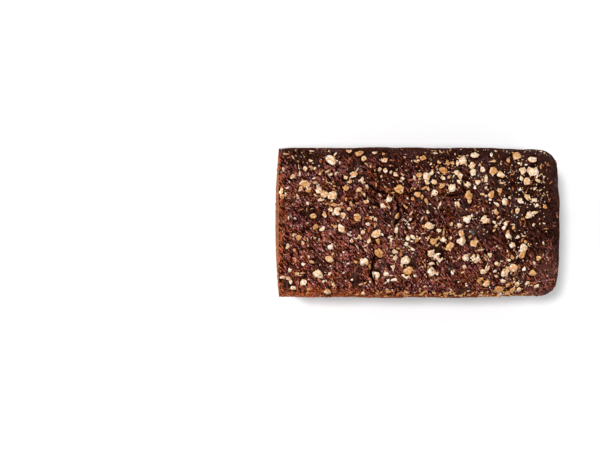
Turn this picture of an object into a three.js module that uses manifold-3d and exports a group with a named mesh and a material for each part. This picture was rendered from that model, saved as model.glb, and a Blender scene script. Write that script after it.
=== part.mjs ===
// A rye loaf baked in a tin: cut square at one end, rounded at the other, with rolled oats baked
// onto its cracked top crust. It is one solid.
// Millimetres, +Z up. X runs along the loaf from the cut end to the rounded end, and Y across it.
// The origin is in the middle of the flat bottom.

import * as THREE from "three";
import { mergeVertices } from "three/addons/utils/BufferGeometryUtils.js";
import Module from "manifold-3d";

const { clamp, degToRad, lerp, smoothstep } = THREE.MathUtils;

// Driving dimensions of the baked loaf.
const LENGTH = 206; // from the cut edge of the top crust to the rounded end
const WIDTH = 111; // across the widest place, just under the shoulders
const HEIGHT = 92; // at the ridge of the crown
const CUT_X = -101; // place of the cut edge of the top crust

// The tin's form. Near is the -Y side and far the +Y side: the loaf leaned a little in its tin.
const SHOULDER_RADIUS = { near: 12, far: 14 };
const FOOT_RADIUS = { near: 5, far: 10 };
const FLOOR_TRIM = 0.5; // the tin's floor flattens this much off the foot
const CROWN_DROP = { near: 12, far: 5 }; // how far the top falls from the ridge to each shoulder
const CROWN_POWER = 2.2;
const END_DROP = 5; // how far the top falls at the rounded end
const SIDE_TAPER = 0.03; // share of the width lost at the bottom
const END_NARROW = { cut: 0.01, round: 0.022 }; // shares of the width lost towards each end
const END_TAPER = 3; // the rounded end leans in by this much at the bottom
const END_BOW = 2.2; // the rounded end swells by this much in its middle

// The cut. The knife wandered, so the bottom sticks out and the middle of the crumb swells.
const CUT_LEAN = 2.2;
const CUT_SWELL = 2.4;

// Relief of the crust: overlapping folds of dough, and crags.
const FOLDS = 12;
const FOLD_LENGTH = { least: 11, most: 62 };
const FOLD_HEIGHT = 0.8;
const FOLD_WANDER = 1.1; // how far each fold strays with the one before it, in radians
const SIDE_RELIEF = 0.25; // share of the top's relief that the smooth sides have
const CRAG_HEIGHT = 0.4;

// Deep cracks across the top, each a path of [x, y] points, with its widest place and its depth.
const CRACKS = [
  { width: 3.6, depth: 4.5, path: [[-40, 30], [-30, 23], [-22, 20]] },
  { width: 4.2, depth: 6.0, path: [[-16, 17], [-14.5, 9], [-16, 0], [-17, -8], [-18.5, -15]] },
  { width: 4.4, depth: 5.5, path: [[-34, -16], [-31.5, -24], [-34, -32], [-34, -39], [-30, -46]] },
  { width: 2.4, depth: 3.5, path: [[13, 20], [18.5, 20.5], [24.5, 19.5], [30, 20]] },
  { width: 2.6, depth: 3.0, path: [[45, -17], [48, -21], [52, -26]] },
  { width: 2.6, depth: 4.0, path: [[-95, 32], [-91, 30], [-87, 31]] },
];

// Oat flakes. The dozen largest have their places, as [x, y, radius], and the rest are strewn round them.
const MAIN_FLAKES = [
  [-63.5, 45, 3.7], [-72.5, -37, 3.6], [-62.5, 19.5, 3.4], [-58.5, 8, 3.0],
  [-56.5, -4, 3.0], [-14.5, 23.5, 3.5], [13.5, -25.5, 3.9], [30, -13, 3.4],
  [39.5, -14.5, 3.0], [82, 37, 3.9], [82.5, 45.5, 3.0], [62.5, -36, 3.1],
];
const FLAKES = 114;
const FLAKE_RADIUS = { least: 1.5, most: 3.7 };
const FLAKE_MIX = 1.2; // above 1 the small flakes outnumber the large ones
const FLAKE_THICKNESS = 1.1;
const FLAKE_SIDES = { least: 5, most: 8 };
const FLAKE_SPACING = 0.8; // of the sum of two flakes' radii
const FLAKE_LEAN = degToRad(12);
const FLAKE_LIFT = 0.2; // share of the thickness by which a flake stands above half sunk
const OAT_MARGIN = { cutEnd: 2, roundEnd: 13, sides: 3 };
// Where the oats fell thickest: the middle of each patch, its reach, and how much thicker it is.
const BARE_SHARE = 0.4;
const OAT_PATCHES = [
  { x: 75, y: 38, reach: 13, share: 0.75 },
  { x: 19, y: 44, reach: 14, share: 0.6 },
  { x: -6, y: 29, reach: 9, share: 0.5 },
  { x: 72, y: 12, reach: 14, share: 0.55 },
  { x: -62, y: 25, reach: 12, share: 0.5 },
  { x: 22, y: -10, reach: 13, share: 0.4 },
  { x: -21, y: -20, reach: 12, share: 0.4 },
  { x: 72, y: -43, reach: 12, share: 0.6 },
  { x: 57, y: -26, reach: 9, share: 0.3 },
  { x: -88, y: 43, reach: 9, share: 0.3 },
  { x: -80, y: -22, reach: 10, share: 0.25 },
];

// Grid of the body: how many strips, and how closely they crowd towards the rounded edges.
const STRIPS = { along: 42, across: 24, up: 8 };

// An endless, repeatable run of draws from 0 to 1.
function seededDraws(seed) {
  let state = seed;
  return () => {
    state = (state + 0x6d2b79f5) | 0;
    let t = Math.imul(state ^ (state >>> 15), 1 | state);
    t = (t + Math.imul(t ^ (t >>> 7), 61 | t)) ^ t;
    return ((t ^ (t >>> 14)) >>> 0) / 4294967296;
  };
}

// The folds, the longest first: each a wave through space with its own heading and height.
function makeFolds(draw) {
  const folds = [];
  for (let i = 0; i < FOLDS; i++) {
    const share = i / (FOLDS - 1);
    const length = FOLD_LENGTH.most * (FOLD_LENGTH.least / FOLD_LENGTH.most) ** share;
    const heading = draw() * 2 * Math.PI;
    const pitch = (draw() - 0.5) * Math.PI;
    const direction = new THREE.Vector3(
      Math.cos(heading) * Math.cos(pitch),
      Math.sin(heading) * Math.cos(pitch),
      Math.sin(pitch),
    );
    const height = FOLD_HEIGHT * (length / FOLD_LENGTH.most) ** 0.4;
    folds.push({ step: direction.multiplyScalar(Math.PI / length), phase: draw() * Math.PI, height });
  }
  return folds;
}

const folds = makeFolds(seededDraws(11));

// Height of the folds at a point: round tops with crooked creases between them.
function foldHeight(point) {
  let sum = 0;
  let stray = 0;
  for (const fold of folds) {
    const turn = fold.step.dot(point) + fold.phase;
    sum += fold.height * (Math.abs(Math.sin(turn + stray)) - 2 / Math.PI);
    stray = FOLD_WANDER * Math.sin(turn);
  }
  return sum;
}

// Radius of the loaf's rounded edges beside a point of the box.
function edgeRadius(y, z) {
  const half = WIDTH / 2;
  const side = smoothstep(y, -half + SHOULDER_RADIUS.near, half - SHOULDER_RADIUS.far);
  const rise = smoothstep(z, FOOT_RADIUS.far, HEIGHT - SHOULDER_RADIUS.far);
  const foot = lerp(FOOT_RADIUS.near, FOOT_RADIUS.far, side);
  const shoulder = lerp(SHOULDER_RADIUS.near, SHOULDER_RADIUS.far, side);
  return lerp(foot, shoulder, rise);
}

// Carries a point of the plain box, x from 0 to LENGTH, onto the surface of the baked loaf.
function loafPoint(x, y, z) {
  const radius = edgeRadius(y, z);
  const core = new THREE.Vector3(
    Math.min(x, LENGTH - radius),
    clamp(y, radius - WIDTH / 2, WIDTH / 2 - radius),
    clamp(z, radius, HEIGHT - radius),
  );
  const out = new THREE.Vector3(x, y, z).sub(core);
  const reach = Math.max(Math.abs(out.x), Math.abs(out.y), Math.abs(out.z));
  if (reach > 0) out.normalize();
  const point = core.addScaledVector(out, reach);

  const share = point.x / LENGTH;
  const aside = point.y / (WIDTH / 2);
  const low = 1 - point.z / HEIGHT;
  const drop = aside < 0 ? CROWN_DROP.near : CROWN_DROP.far;
  const fall = drop * Math.abs(aside) ** CROWN_POWER + END_DROP * share ** 10;
  const weight = out.z > 0 ? lerp(SIDE_RELIEF, 1, out.z) : SIDE_RELIEF * (1 + out.z);
  const relief = (weight * foldHeight(point) * reach) / radius;

  const cut = (1 - share) ** 12;
  const swell = CUT_SWELL * (1 - aside ** 2) * Math.sin(Math.PI * clamp(1 - low, 0, 1));
  point.x -= cut * (CUT_LEAN * low + swell);
  point.x -= share ** 4 * (END_TAPER * low + END_BOW * aside ** 2);
  const atCut = END_NARROW.cut * (1 - smoothstep(share, 0, 0.35));
  const atRound = END_NARROW.round * smoothstep(share, 0.6, 0.95);
  point.y *= 1 - SIDE_TAPER * low - atCut - atRound;
  point.z *= 1 - fall / HEIGHT;
  point.addScaledVector(out, relief);
  point.x += CUT_X;
  point.z -= FLOOR_TRIM;
  return point;
}

// Point of the top crust over a place in the plan.
function topPoint(x, y) {
  return loafPoint(x - CUT_X, y, HEIGHT);
}

// Outward direction of the top crust there.
function topNormal(x, y) {
  const step = 1.5;
  const lengthwise = topPoint(x + step, y).sub(topPoint(x - step, y));
  const crosswise = topPoint(x, y + step).sub(topPoint(x, y - step));
  return lengthwise.cross(crosswise).normalize();
}

// Moves the strips of a grid, from 0 to 1, closer together at its low and high ends.
function crowd(share, low, high) {
  const both = (low + high) / 2;
  const even = share - (both * Math.sin(2 * Math.PI * share)) / (2 * Math.PI);
  return even + ((high - low) / 2) * (share - share ** 2);
}

function plainGeometry(geometry) {
  geometry.deleteAttribute("normal");
  geometry.deleteAttribute("uv");
  return mergeVertices(geometry, 1e-3);
}

function bodyGeometry(draw) {
  const box = new THREE.BoxGeometry(1, 1, 1, STRIPS.along, STRIPS.across, STRIPS.up);
  const geometry = plainGeometry(box);
  const position = geometry.getAttribute("position");
  for (let i = 0; i < position.count; i++) {
    const x = crowd(position.getX(i) + 0.5, 0, 0.6) * LENGTH;
    const y = (crowd(position.getY(i) + 0.5, 0.35, 0.35) - 0.5) * WIDTH;
    const z = crowd(position.getZ(i) + 0.5, 0.65, 0.65) * HEIGHT;
    const point = loafPoint(x, y, z);
    const crag = lerp(-CRAG_HEIGHT, CRAG_HEIGHT, draw());
    if (z > HEIGHT / 2) point.z += crag;
    position.setXYZ(i, point.x, point.y, point.z);
  }
  return geometry;
}

// The block that flattens the foot.
function floorGeometry() {
  const block = new THREE.BoxGeometry(2 * LENGTH, 2 * WIDTH, HEIGHT);
  block.translate(0, 0, -HEIGHT / 2);
  return plainGeometry(block);
}

// A ragged upright sliver that opens one crack, pointed at both ends.
function crackGeometry({ width, depth, path }, draw) {
  const curve = new THREE.CatmullRomCurve3(path.map(([x, y]) => new THREE.Vector3(x, y, 0)));
  const steps = path.length * 2;
  const edges = [[], []];
  for (let i = 0; i <= steps; i++) {
    const share = i / steps;
    const middle = curve.getPoint(share);
    const heading = curve.getTangent(share);
    const open = Math.max(0.12, Math.sin(Math.PI * share));
    for (const [side, edge] of edges.entries()) {
      const half = (width / 2) * open * lerp(0.75, 1.25, draw()) * (side ? -1 : 1);
      edge.push(new THREE.Vector2(middle.x - heading.y * half, middle.y + heading.x * half));
    }
  }
  const outline = new THREE.Shape([...edges[0].reverse(), ...edges[1]]);
  const tall = depth + 8;
  const geometry = new THREE.ExtrudeGeometry(outline, { depth: tall, bevelEnabled: false });
  const [x, y] = path[Math.floor(path.length / 2)];
  geometry.translate(0, 0, topPoint(x, y).z - depth);
  return plainGeometry(geometry);
}

// How readily an oat stays at a place of the top, from 0 to 1.
function oatShare(x, y) {
  let share = BARE_SHARE;
  for (const patch of OAT_PATCHES) {
    const away = ((x - patch.x) ** 2 + (y - patch.y) ** 2) / (2 * patch.reach ** 2);
    share += patch.share * Math.exp(-away);
  }
  return Math.min(share, 1);
}

// The main flakes, then strewn ones, the largest first, each clear of the last ones by FLAKE_SPACING.
function strewFlakes(draw) {
  const low = { x: CUT_X + OAT_MARGIN.cutEnd, y: OAT_MARGIN.sides - WIDTH / 2 };
  const high = { x: CUT_X + LENGTH - OAT_MARGIN.roundEnd, y: WIDTH / 2 - OAT_MARGIN.sides };
  const flakes = MAIN_FLAKES.map(([x, y, radius]) => ({ x, y, radius }));
  while (flakes.length < FLAKES) {
    const small = flakes.length / FLAKES;
    const radius = lerp(FLAKE_RADIUS.least, FLAKE_RADIUS.most, (1 - small) ** FLAKE_MIX);
    const x = lerp(low.x, high.x, draw());
    const y = lerp(low.y, high.y, draw());
    const stays = draw() < oatShare(x, y);
    const room = (other) => FLAKE_SPACING * (radius + other.radius);
    if (stays && flakes.every((o) => Math.hypot(o.x - x, o.y - y) > room(o))) {
      flakes.push({ x, y, radius });
    }
  }
  return flakes;
}

// One flake: a thin oval disc with an uneven rim, bent like a saddle and bedded in the crust.
function flakeGeometry({ x, y, radius }, draw) {
  const size = (radius - FLAKE_RADIUS.least) / (FLAKE_RADIUS.most - FLAKE_RADIUS.least);
  const sides = Math.round(lerp(FLAKE_SIDES.least, FLAKE_SIDES.most, size));
  const disc = new THREE.CylinderGeometry(1, 0.85, FLAKE_THICKNESS, sides);
  disc.rotateX(Math.PI / 2);
  const geometry = plainGeometry(disc);
  const long = lerp(1.0, 1.3, draw());
  const bend = lerp(-0.5, 0.5, draw()) / radius;
  const position = geometry.getAttribute("position");
  const rims = Array.from({ length: sides }, () => lerp(0.82, 1.12, draw()));
  for (let i = 0; i < position.count; i++) {
    const [px, py, pz] = [position.getX(i), position.getY(i), position.getZ(i)];
    const turn = Math.atan2(py, px) / (2 * Math.PI) + 1;
    const rim = rims[Math.round(turn * sides) % sides] * radius;
    const [fx, fy] = [px * rim * long, (py * rim) / long];
    position.setXYZ(i, fx, fy, pz + bend * (fx ** 2 - fy ** 2) * 0.25);
  }
  const normal = topNormal(x, y);
  normal.x += lerp(-FLAKE_LEAN, FLAKE_LEAN, draw());
  normal.y += lerp(-FLAKE_LEAN, FLAKE_LEAN, draw());
  const facing = new THREE.Quaternion().setFromUnitVectors(new THREE.Vector3(0, 0, 1), normal.normalize());
  const turned = new THREE.Quaternion().setFromAxisAngle(new THREE.Vector3(0, 0, 1), draw() * Math.PI);
  const place = topPoint(x, y).addScaledVector(normal, FLAKE_LIFT * FLAKE_THICKNESS);
  geometry.applyQuaternion(facing.multiply(turned));
  return geometry.translate(place.x, place.y, place.z);
}

const wasm = await Module();
wasm.setup();

function toSolid(geometry) {
  return new wasm.Manifold(
    new wasm.Mesh({
      numProp: 3,
      vertProperties: geometry.getAttribute("position").array,
      triVerts: new Uint32Array(geometry.index.array),
    }),
  );
}

function toGeometry(solid) {
  const mesh = solid.getMesh();
  return new THREE.BufferGeometry()
    .setAttribute("position", new THREE.BufferAttribute(mesh.vertProperties, 3))
    .setIndex(new THREE.BufferAttribute(mesh.triVerts, 1));
}

// The body with its cracks opened and its oats baked on. What the cracks and oats cut loose is dropped.
function bakeLoaf() {
  let solid = toSolid(bodyGeometry(seededDraws(3)));
  solid = solid.subtract(toSolid(floorGeometry()));
  const ragged = seededDraws(5);
  for (const crack of CRACKS) solid = solid.subtract(toSolid(crackGeometry(crack, ragged)));
  const flakes = strewFlakes(seededDraws(7));
  const shapes = seededDraws(9);
  for (const flake of flakes) solid = solid.add(toSolid(flakeGeometry(flake, shapes)));
  const bodies = solid.decompose();
  bodies.sort((a, b) => b.volume() - a.volume());
  return toGeometry(bodies[0]);
}

const loafGeometry = bakeLoaf();
loafGeometry.computeVertexNormals();

const crust = new THREE.MeshStandardMaterial({ color: 0x57301f, roughness: 0.7, metalness: 0 });

const loaf = new THREE.Mesh(loafGeometry, crust);
loaf.name = "loaf";

const bread = new THREE.Group();
bread.add(loaf);

export default bread;
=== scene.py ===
"""Dresses a cut rye loaf: its crust, its crumb with seeds, the oats baked onto it, and a plain studio."""

import math

import bmesh
import bpy
import numpy as np
from bpy.props import FloatProperty, FloatVectorProperty, IntProperty, PointerProperty
from mathutils import Matrix, Vector, noise
from mathutils.bvhtree import BVHTree


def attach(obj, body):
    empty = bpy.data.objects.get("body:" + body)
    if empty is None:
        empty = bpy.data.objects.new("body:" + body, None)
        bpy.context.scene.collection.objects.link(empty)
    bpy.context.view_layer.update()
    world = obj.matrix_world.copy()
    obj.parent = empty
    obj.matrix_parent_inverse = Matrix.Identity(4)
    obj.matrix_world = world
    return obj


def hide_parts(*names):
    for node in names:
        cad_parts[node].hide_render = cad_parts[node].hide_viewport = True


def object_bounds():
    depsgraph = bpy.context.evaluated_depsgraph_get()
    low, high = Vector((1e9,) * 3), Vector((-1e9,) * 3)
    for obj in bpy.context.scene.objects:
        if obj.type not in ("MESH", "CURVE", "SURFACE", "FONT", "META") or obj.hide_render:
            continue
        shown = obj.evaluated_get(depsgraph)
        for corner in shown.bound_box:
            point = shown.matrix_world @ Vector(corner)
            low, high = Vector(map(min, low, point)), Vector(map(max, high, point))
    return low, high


bl_info = {
    "name": "Rye Loaf",
    "version": (1, 0, 0),
    "blender": (4, 5, 0),
    "location": "3D View > Sidebar > Rye Loaf",
    "description": "Makes a cut rye loaf with oats baked onto its crust, and a plain studio round it",
    "category": "Object",
}

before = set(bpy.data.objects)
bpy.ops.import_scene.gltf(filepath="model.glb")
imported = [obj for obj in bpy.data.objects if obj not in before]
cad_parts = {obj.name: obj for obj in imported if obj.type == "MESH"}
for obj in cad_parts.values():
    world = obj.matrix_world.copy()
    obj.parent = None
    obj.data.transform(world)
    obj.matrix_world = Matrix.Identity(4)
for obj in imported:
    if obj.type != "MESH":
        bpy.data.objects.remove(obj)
CAD_BOX = [list(corner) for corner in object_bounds()]

MM = 0.001

# The baked loaf, in millimetres: the same form as the solid that it replaces.
CUT_X = -101  # place of the cut edge of the top crust
SHOULDER_RADIUS = (12, 14)  # near side, far side
FOOT_RADIUS = (5, 10)
FLOOR_TRIM = 0.5
CROWN_DROP = (12, 5)
CROWN_POWER = 2.2
END_DROP = 5
SIDE_TAPER = 0.03
END_NARROW = (0.01, 0.022)
END_TAPER = 3
END_BOW = 2.2
CUT_LEAN = 2.2
CUT_SWELL = 2.4
FOLDS = 12
FOLD_LENGTH = (11, 62)
FOLD_HEIGHT = 0.8
FOLD_WANDER = 1.1
SIDE_RELIEF = 0.25
GRAIN = math.radians(-52)  # most of the dough tore along this heading

# Deep cracks across the top: the widest place, the depth and a path of (x, y) points.
CRACKS = (
    (3.6, 4.5, ((-40, 30), (-30, 23), (-22, 20))),
    (4.2, 6.0, ((-16, 17), (-14.5, 9), (-16, 0), (-17, -8), (-18.5, -15))),
    (4.4, 5.5, ((-34, -16), (-31.5, -24), (-34, -32), (-34, -39), (-30, -46))),
    (2.4, 3.5, ((13, 20), (18.5, 20.5), (24.5, 19.5), (30, 20))),
    (2.6, 3.0, ((45, -17), (48, -21), (52, -26))),
    (2.6, 4.0, ((-95, 32), (-91, 30), (-87, 31))),
)

# Where the oats fell: margins in from the ends and sides, and patches of (x, y, reach, share).
OAT_MARGIN = {"cut": 2, "round": 13, "sides": 3}
OAT_CUT_X = CUT_X + 0.2  # the knife cut the oats off here
BARE_SHARE = 0.4
OAT_PATCHES = (
    (75, 38, 13, 0.75),
    (19, 44, 14, 0.6),
    (-6, 29, 9, 0.5),
    (72, 12, 14, 0.55),
    (-62, 25, 12, 0.5),
    (22, -10, 13, 0.4),
    (-21, -20, 12, 0.4),
    (72, -43, 12, 0.6),
    (57, -26, 9, 0.3),
    (-88, 43, 9, 0.3),
    (-80, -22, 10, 0.25),
)
FLAKE_SPACING = 0.8
FLAKE_MIX = 1.2
# The dozen largest have their places, as (x, y, radius, how toasted), and the rest are strewn round them.
MAIN_FLAKES = (
    (-63.5, 45, 3.7, 0.35), (-72.5, -37, 3.6, 0.25), (-62.5, 19.5, 3.4, 0.5), (-58.5, 8, 3.0, 0.4),
    (-56.5, -4, 3.0, 0.45), (-14.5, 23.5, 3.5, 0.85), (13.5, -25.5, 3.9, 0.1), (30, -13, 3.4, 0.1),
    (39.5, -14.5, 3.0, 0.75), (82, 37, 3.9, 0.15), (82.5, 45.5, 3.0, 0.45), (62.5, -36, 3.1, 0.4),
)

EDGE_LIGHT_HEIGHTS = (62, 76)  # painted light on the crust's edges fades in above these heights
CRUST_RINGS = 29  # rings of mesh down the walls
RING_CROWDING = 0.65  # how much closer together they are at the shoulder and at the foot
FOOT_RINGS = (0.99, 0.97, 0.95, 0.9)  # each ring under the foot, as a share of the one before
CRUMB_INSET = 0.9  # the crust is about this thick where the knife went through it
POCKET_DEPTH = 3.0  # the crumb's slab is let into the crust by this much
KNIFE_TURN = Matrix.Rotation(math.radians(-90), 4, "Y")  # turns a thing's Z out of the cut face
NEAR_CHIPS = 75  # chips of oat that gathered along the near shoulder

# Seeds of the random draws.
SEEDS = {
    "folds": 11, "flake places": 7, "flake shapes": 9, "small flakes": 21, "shard places": 31,
    "shard shapes": 33, "bran": 41, "clods": 51, "cut seeds": 61, "fibres": 71,
}
NOISE_SEED = 1
noise.seed_set(NOISE_SEED)  # the noise's vectors would start from the clock, and differ with each run

# Tints that a material wanders to, darker and lighter, and colours that no one would need to change.
SIDE_TINTS = ((0.095, 0.026, 0.0105), (0.235, 0.080, 0.033))
CRUMB_TINTS = ((0.075, 0.021, 0.008), (0.26, 0.088, 0.033))
KERNEL_TINTS = ((0.30, 0.13, 0.05), (0.66, 0.45, 0.27))
FLOOR_TINTS = ((0.79, 0.79, 0.80), (0.83, 0.83, 0.84))
KERNEL = (0.46, 0.25, 0.12)
KERNEL_SKIN = (0.16, 0.06, 0.025)
PALE_HUSK = (0.42, 0.17, 0.08)
FLOUR_DUST = (0.40, 0.20, 0.10)
SHADE_AND_CALM_TINT = (0.36, 0.36, 0.38)  # what the darkest painted shade, with a calm patch, leaves of a colour

# The view: the frame's size in pixels, the loaf's middle in it, and its scale at the loaf's widest.
VIEW_SIZE = (600, 450)
LOAF_MIDDLE_PIXEL = (419.1, 222.7)
LOAF_MIDDLE_X = (CUT_X + 103) * MM  # the middle of the crust's length
PIXEL = 0.7363 * MM
WIDEST_HEIGHT = 72 * MM
CAMERA_RISE = 790 * MM  # above the widest place
SENSOR = 36

# Lamps, in metres.
KEY_FROM = (-0.30, 0.135, 1.0)
SECOND_FROM = (0, -0.095, 1.0)
CARD_FROM = (-0.45, 0, 0.045)
CARD_SIZE = (0.35, 0.07)
CARD_COLOUR = (1.0, 0.9, 0.78)


def measure(name, description, millimetres):
    return FloatProperty(name=name, description=description, default=millimetres * MM, unit="LENGTH")


def tally(name, description, number):
    return IntProperty(name=name, description=description, default=number, min=0)


def strength(name, description, value):
    return FloatProperty(name=name, description=description, default=value, min=0)


def colour(name, description, value):
    """A colour property, in linear light."""
    return FloatVectorProperty(
        name=name, description=description, default=value, subtype="COLOR", size=3, min=0, max=1
    )


class LoafShape(bpy.types.PropertyGroup):
    """Size of the baked loaf and the roughness of its top."""

    length: measure("Length", "Crust from end to end", 206)
    width: measure("Width", "Across the widest place", 111)
    height: measure("Height", "Up to the crown", 92)
    crags: measure("Crags", "Height of the torn lumps", 0.75)
    wrinkles: measure("Wrinkles", "Height of fine folds", 0.6)
    clods: tally("Clods", "Loose-looking clods of torn dough", 900)
    fibres: tally("Fibres", "Thin strands drawn out of the dough", 5200)
    mesh_step: measure("Mesh Step", "Grid of the top", 0.6)


class CrustLook(bpy.types.PropertyGroup):
    """Colours of the crust."""

    # Painted shade: the cracks are painted near-black, where shade falls.
    crack: colour("Cracks", "Deep in the cracks", (0.0030, 0.0018, 0.0014))
    # Painted shade: the dough is painted this dark between the crags.
    hollow_shade: colour("Hollows", "Between the crags", (0.0180, 0.0035, 0.0011))
    body: colour("Body", "Most of the torn top crust", (0.060, 0.0125, 0.0092))
    skin: colour("Skin", "Where the top crust is smooth", (0.076, 0.0285, 0.0225))
    warm_body: colour("Warm Body", "Where the dough is more orange", (0.088, 0.0140, 0.0036))
    # Painted highlights: Ridges and Amber paint the raised dough paler, mauve where it stands for sheen and
    # orange where the dough is warm.
    ridge_sheen: colour("Ridges", "Where the dough stands up", (0.500, 0.146, 0.148))
    amber: colour("Amber", "Ridges where the dough is more orange", (0.480, 0.112, 0.030))
    # Painted highlight: glints are pale specks painted into the base colour.
    glint: colour("Glints", "Specks that catch the light", (1.0, 0.66, 0.62))
    bran: colour("Bran", "Flecks of husk in the dough", (0.38, 0.090, 0.020))
    side: colour("Sides", "Where the tin pressed the dough", (0.165, 0.048, 0.019))
    # Painted light: the cut's edge and the near shoulder are painted this bright orange.
    edge_light: colour("Painted Edge Light", "Along the cut and the near shoulder", (0.660, 0.140, 0.036))


class CrumbLook(bpy.types.PropertyGroup):
    """The cut face."""

    step: measure("Mesh Step", "Grid of the cut face", 0.42)
    kernels: tally("Kernels", "Cut sunflower kernels", 9)
    grains: tally("Grains", "Cut rye grains", 26)
    # Painted shade: the pores and fine low places of the crumb are painted this dark.
    pore: colour("Pores", "Inside the pores", (0.016, 0.0045, 0.002))
    body: colour("Body", "The crumb itself", (0.140, 0.041, 0.0150))
    pale: colour("Pale Strands", "Thin walls between the pores", (0.36, 0.140, 0.060))


class OatMix(bpy.types.PropertyGroup):
    """How many oats, how large and how toasted."""

    flakes: tally("Flakes", "Whole flakes", 114)
    small: tally("Small Flakes", "Small and folded flakes", 165)
    shards: tally("Shards", "Broken flakes", 370)
    dust: tally("Dust", "Specks of oat", 2050)
    bran: tally("Bran", "Slivers of husk", 240)
    grains: tally("Grains", "Brown grains on the crust", 46)
    largest: measure("Largest", "Radius of the largest strewn flake", 3.7)
    least: measure("Least", "Radius of the smallest whole flake", 1.5)
    cream: colour("Cream", "Most of a flake", (0.80, 0.54, 0.32))
    flour: colour("Flour", "Palest places", (0.97, 0.90, 0.81))
    amber: colour("Amber", "Toasted places", (0.70, 0.32, 0.075))
    toast: colour("Toast", "Most toasted places", (0.42, 0.14, 0.024))


class StudioLook(bpy.types.PropertyGroup):
    """Floor, lights and view."""

    floor: colour("Floor", "Plain pale floor", (0.81, 0.81, 0.82))
    key: strength("Key", "Strength of the main high lamp", 2.03)
    second: strength("Second", "Strength of the other high lamp", 0.85)
    fill: strength("Fill", "Strength of the pale surround", 0.45)
    card: FloatProperty(name="Card", description="Power of the low card", default=1.5, unit="POWER")


class RyeLoaf(bpy.types.PropertyGroup):
    """Everything that the operators read."""

    shape: PointerProperty(type=LoafShape, name="Shape", description="Size of the loaf")
    crust: PointerProperty(type=CrustLook, name="Crust", description="Look of the crust")
    crumb: PointerProperty(type=CrumbLook, name="Crumb", description="Look of the cut face")
    oats: PointerProperty(type=OatMix, name="Oats", description="Look of the oats")
    studio: PointerProperty(type=StudioLook, name="Studio", description="Floor, lights and view")


# ---------------------------------------------------------------------------------------------------
# The loaf's form, in millimetres.


def seeded_draws(seed):
    """An endless, repeatable run of draws from 0 to 1."""
    word = 0xFFFFFFFF
    state = seed

    def draw():
        nonlocal state
        state = (state + 0x6D2B79F5) & word
        t = ((state ^ (state >> 15)) * (1 | state)) & word
        t = ((t + (((t ^ (t >> 7)) * (61 | t)) & word)) & word) ^ t
        return (t ^ (t >> 14)) / (word + 1)

    return draw


def lerp(low, high, share):
    return low + (high - low) * share


def smooth(value, low, high):
    """From 0 at low to 1 at high, level at both."""
    share = np.clip((value - low) / (high - low), 0, 1)
    return share * share * (3 - 2 * share)


def crowd(share, ends):
    """Moves the strips of a grid, from 0 to 1, closer together at both ends."""
    return share - ends * math.sin(2 * math.pi * share) / (2 * math.pi)


def make_folds(draw):
    """The folds, the longest first: each a wave through space with its own heading and height."""
    folds = []
    for i in range(FOLDS):
        share = i / (FOLDS - 1)
        length = FOLD_LENGTH[1] * (FOLD_LENGTH[0] / FOLD_LENGTH[1]) ** share
        heading = draw() * 2 * math.pi
        pitch = (draw() - 0.5) * math.pi
        way = (math.cos(heading) * math.cos(pitch), math.sin(heading) * math.cos(pitch), math.sin(pitch))
        step = np.array(way) * math.pi / length
        height = FOLD_HEIGHT * (length / FOLD_LENGTH[1]) ** 0.4
        folds.append((step, draw() * math.pi, height))
    return folds


class Loaf:
    """Carries points of a plain box onto the baked loaf. All its arrays hold one point in each row."""

    def __init__(self, shape):
        self.length = shape.length / MM
        self.width = shape.width / MM
        self.height = shape.height / MM
        self.crags = shape.crags / MM
        self.wrinkles = shape.wrinkles / MM
        self.folds = make_folds(seeded_draws(SEEDS["folds"]))

    def fold_height(self, points):
        """Round tops with crooked creases between them."""
        total = np.zeros(len(points))
        stray = np.zeros(len(points))
        for step, phase, height in self.folds:
            turn = points @ step + phase
            total += height * (np.abs(np.sin(turn + stray)) - 2 / math.pi)
            stray = FOLD_WANDER * np.sin(turn)
        return total

    def edge_radius(self, y, z):
        half = self.width / 2
        side = smooth(y, -half + SHOULDER_RADIUS[0], half - SHOULDER_RADIUS[1])
        rise = smooth(z, FOOT_RADIUS[1], self.height - SHOULDER_RADIUS[1])
        foot = lerp(*FOOT_RADIUS, side)
        shoulder = lerp(*SHOULDER_RADIUS, side)
        return lerp(foot, shoulder, rise)

    def carry(self, box):
        """Places on the baked loaf, their outward ways, and how much relief each takes."""
        x, y, z = box.T
        radius = self.edge_radius(y, z)
        core = np.column_stack((
            np.minimum(x, self.length - radius),
            np.clip(y, radius - self.width / 2, self.width / 2 - radius),
            np.clip(z, radius, self.height - radius),
        ))
        out = box - core
        reach = np.abs(out).max(axis=1)
        out /= np.maximum(np.linalg.norm(out, axis=1), 1e-9)[:, None]
        point = core + out * reach[:, None]

        share = point[:, 0] / self.length
        aside = point[:, 1] / (self.width / 2)
        low = 1 - point[:, 2] / self.height
        drop = np.where(aside < 0, *CROWN_DROP)
        fall = drop * np.abs(aside) ** CROWN_POWER + END_DROP * np.clip(share, 0, 1) ** 10
        up = out[:, 2]
        weight = np.where(up > 0, lerp(SIDE_RELIEF, 1, up), SIDE_RELIEF * (1 + up)) * reach / radius
        relief = weight * self.fold_height(point)

        cut = np.clip(1 - share, 0, 1) ** 12
        swell = CUT_SWELL * (1 - aside**2) * np.sin(math.pi * np.clip(1 - low, 0, 1))
        point[:, 0] -= cut * (CUT_LEAN * low + swell)
        point[:, 0] -= np.clip(share, 0, 1) ** 4 * (END_TAPER * low + END_BOW * aside**2)
        at_cut = END_NARROW[0] * (1 - smooth(share, 0, 0.35))
        at_round = END_NARROW[1] * smooth(share, 0.6, 0.95)
        point[:, 1] *= 1 - SIDE_TAPER * low - at_cut - at_round
        point[:, 2] *= 1 - fall / self.height
        point += out * relief[:, None]
        point += (CUT_X, 0, -FLOOR_TRIM)
        return point, out, weight

    def inset(self, box):
        """How far the points of the box lie in from the rim of its ends."""
        up = np.minimum(box[:, 2], self.height - box[:, 2])
        return np.minimum(self.width / 2 - np.abs(box[:, 1]), up)


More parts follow.
